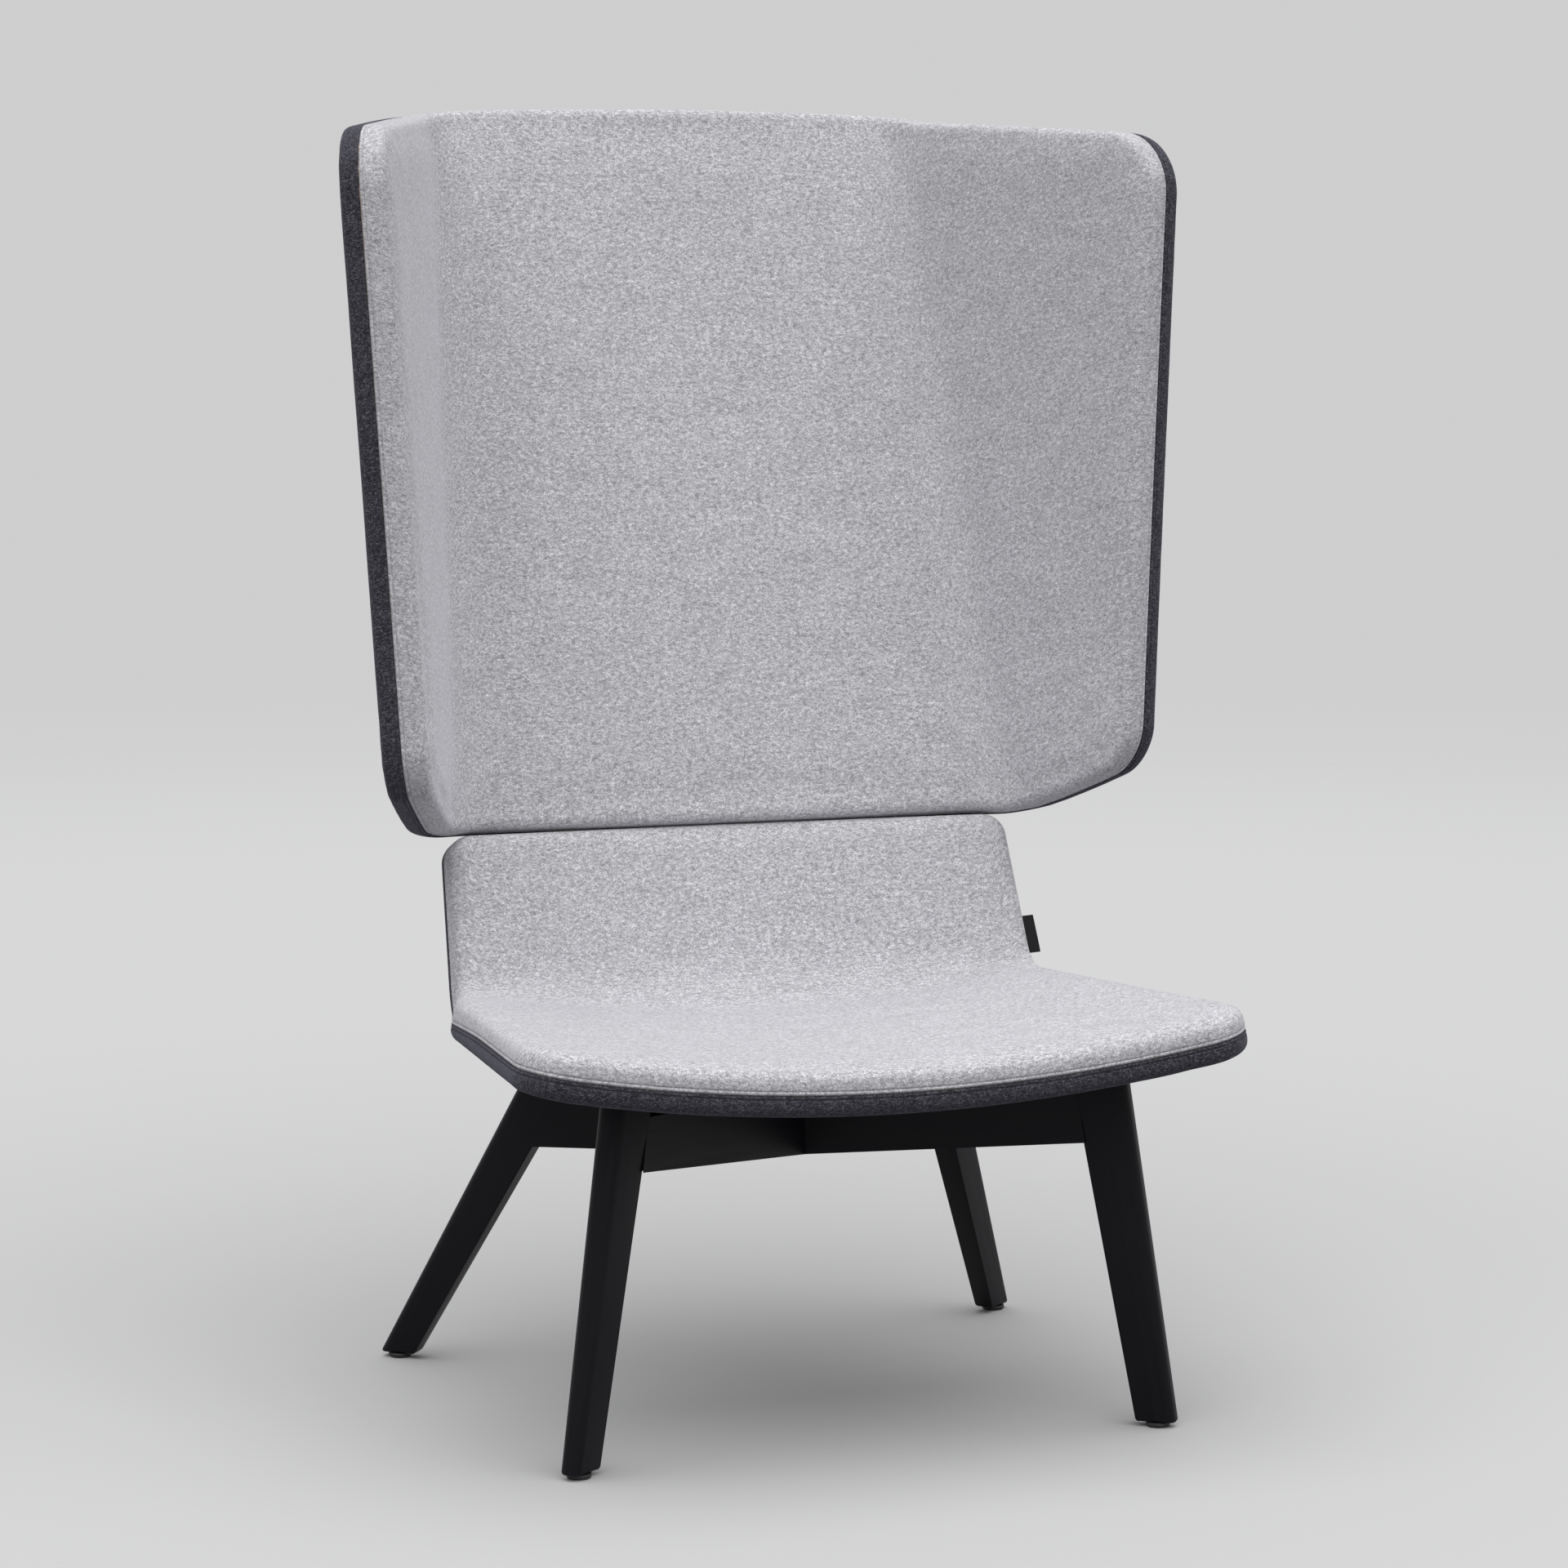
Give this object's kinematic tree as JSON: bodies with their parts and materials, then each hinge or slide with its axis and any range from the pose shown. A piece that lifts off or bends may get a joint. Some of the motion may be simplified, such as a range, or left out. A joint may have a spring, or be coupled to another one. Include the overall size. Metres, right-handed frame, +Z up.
{
  "type": "acoustic high back lounge chair",
  "caption": "Low lounge chair with a bent upholstered seat and lower back, a tall winged acoustic shield above it and splayed black wooden legs on crossing beams.",
  "frame": {"origin": "on the floor, under the centre of the chair's bounding box", "axes": "+Z up, -Y the way the sitter looks, +X towards the sitter's left"},
  "size_m": [0.8836, 0.7914, 1.307],
  "materials": {
    "light_fabric": "soft light grey melange wool felt",
    "dark_fabric": "charcoal melange wool felt",
    "foam": "cut upholstery foam",
    "plywood": "bare bent plywood",
    "black_wood": "black stained wood, satin",
    "beech": "bare turned beech",
    "steel": "zinc plated steel",
    "black_plastic": "moulded black plastic",
    "tag": "woven black ribbon, blank"
  },
  "bodies": {
    "root": {"cross_beam_front_left": "black_wood", "cross_beam_front_right": "black_wood", "leg_front_left": "black_wood", "glide_front_left": "black_plastic", "dowel_front_left_lower": "beech", "dowel_front_left_upper": "beech", "seat_bolt_front_left": "steel", "tee_nut_front_left": "steel", "leg_front_right": "black_wood", "glide_front_right": "black_plastic", "dowel_front_right_lower": "beech", "dowel_front_right_upper": "beech", "seat_bolt_front_right": "steel", "tee_nut_front_right": "steel", "leg_rear_left": "black_wood", "glide_rear_left": "black_plastic", "dowel_rear_left_lower": "beech", "dowel_rear_left_upper": "beech", "seat_bolt_rear_left": "steel", "tee_nut_rear_left": "steel", "leg_rear_right": "black_wood", "glide_rear_right": "black_plastic", "dowel_rear_right_lower": "beech", "dowel_rear_right_upper": "beech", "seat_bolt_rear_right": "steel", "tee_nut_rear_right": "steel", "lap_screw": "steel", "seat_board": "plywood", "seat_board_wrap": "dark_fabric", "seat_front_cover": "light_fabric", "seat_front_foam": "foam", "seat_plywood_shell": "plywood", "seat_rear_foam": "foam", "seat_rear_cover": "dark_fabric", "shield_front_cover": "light_fabric", "shield_front_foam": "foam", "shield_plywood_shell": "plywood", "shield_rear_foam": "foam", "shield_rear_cover": "dark_fabric", "shield_plate_left": "steel", "plate_screw_left_lower_inner": "steel", "plate_screw_left_lower_outer": "steel", "plate_screw_left_upper_inner": "steel", "plate_screw_left_upper_outer": "steel", "shield_plate_right": "steel", "plate_screw_right_lower_inner": "steel", "plate_screw_right_lower_outer": "steel", "plate_screw_right_upper_inner": "steel", "plate_screw_right_upper_outer": "steel", "side_tag": "tag"}
  },
  "joints": []
}
